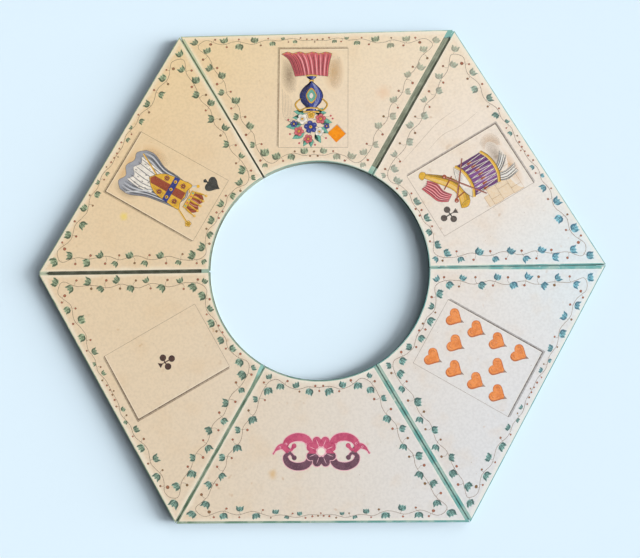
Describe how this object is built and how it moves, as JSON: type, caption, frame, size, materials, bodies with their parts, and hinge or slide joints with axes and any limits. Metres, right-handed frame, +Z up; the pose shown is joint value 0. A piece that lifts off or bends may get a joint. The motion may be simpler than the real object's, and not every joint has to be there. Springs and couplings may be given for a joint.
{
  "type": "folding game board",
  "caption": "Hexagonal folding game board of hinged pasteboard panels around a round hole, with ivy borders and playing-card prints on aged paper and green bound edges.",
  "frame": {"origin": "centre of the round hole, on the surface that the open board lies on", "axes": "+Z up out of the printed face; +X along the long diagonal from the open board's left corner to its right corner; +Y from the lowest panel to the highest one as the board is pictured"},
  "size_m": [0.4992, 0.433, 0.006],
  "materials": {
    "pasteboard": "matte",
    "face_paper": "matte",
    "lining_paper": "matte",
    "edging_paper": "matte",
    "dark_hinge_cloth": "matte",
    "green_hinge_cloth": "matte"
  },
  "bodies": {
    "queen_panel": {"queen_core": "pasteboard", "queen_face_paper": "face_paper", "queen_lining_paper": "lining_paper", "queen_outer_edging": "edging_paper", "queen_hole_edging": "edging_paper", "queen_left_edging": "edging_paper", "queen_right_edging": "edging_paper", "queen_left_hinge_cloth": "green_hinge_cloth", "queen_right_hinge_cloth": "dark_hinge_cloth"},
    "jack_panel": {"jack_core": "pasteboard", "jack_face_paper": "face_paper", "jack_lining_paper": "lining_paper", "jack_outer_edging": "edging_paper", "jack_hole_edging": "edging_paper", "jack_left_edging": "edging_paper", "jack_right_edging": "edging_paper", "jack_left_hinge_cloth": "dark_hinge_cloth", "jack_right_hinge_cloth": "green_hinge_cloth"},
    "ten_panel": {"ten_core": "pasteboard", "ten_face_paper": "face_paper", "ten_lining_paper": "lining_paper", "ten_outer_edging": "edging_paper", "ten_hole_edging": "edging_paper", "ten_left_edging": "edging_paper", "ten_right_edging": "edging_paper", "ten_left_hinge_cloth": "green_hinge_cloth"},
    "title_panel": {"title_core": "pasteboard", "title_face_paper": "face_paper", "title_lining_paper": "lining_paper", "title_outer_edging": "edging_paper", "title_hole_edging": "edging_paper", "title_left_edging": "edging_paper", "title_right_edging": "edging_paper", "title_right_hinge_cloth": "green_hinge_cloth"},
    "ace_panel": {"ace_core": "pasteboard", "ace_face_paper": "face_paper", "ace_lining_paper": "lining_paper", "ace_outer_edging": "edging_paper", "ace_hole_edging": "edging_paper", "ace_left_edging": "edging_paper", "ace_right_edging": "edging_paper", "ace_left_hinge_cloth": "green_hinge_cloth", "ace_right_hinge_cloth": "dark_hinge_cloth"},
    "king_panel": {"king_core": "pasteboard", "king_face_paper": "face_paper", "king_lining_paper": "lining_paper", "king_outer_edging": "edging_paper", "king_hole_edging": "edging_paper", "king_left_edging": "edging_paper", "king_right_edging": "edging_paper", "king_left_hinge_cloth": "dark_hinge_cloth", "king_right_hinge_cloth": "green_hinge_cloth"}
  },
  "joints": [
    {"name": "queen_jack_fold", "type": "hinge", "parent": "queen_panel", "child": "jack_panel", "pos_m": [0.085, 0.14722, 0.0061], "axis": [-0.5, -0.866, 0], "range_deg": [0, 180]},
    {"name": "jack_ten_fold", "type": "hinge", "parent": "jack_panel", "child": "ten_panel", "pos_m": [0.17, 0, -0.0001], "axis": [1, 0, 0], "range_deg": [0, 180]},
    {"name": "queen_king_fold", "type": "hinge", "parent": "queen_panel", "child": "king_panel", "pos_m": [-0.085, 0.14722, -0.0001], "axis": [0.5, -0.866, 0], "range_deg": [0, 180]},
    {"name": "king_ace_fold", "type": "hinge", "parent": "king_panel", "child": "ace_panel", "pos_m": [-0.17, 0, 0.0061], "axis": [-1, 0, 0], "range_deg": [0, 180]},
    {"name": "ace_title_fold", "type": "hinge", "parent": "ace_panel", "child": "title_panel", "pos_m": [-0.085, -0.14722, -0.0001], "axis": [0.5, 0.866, 0], "range_deg": [0, 180]}
  ]
}
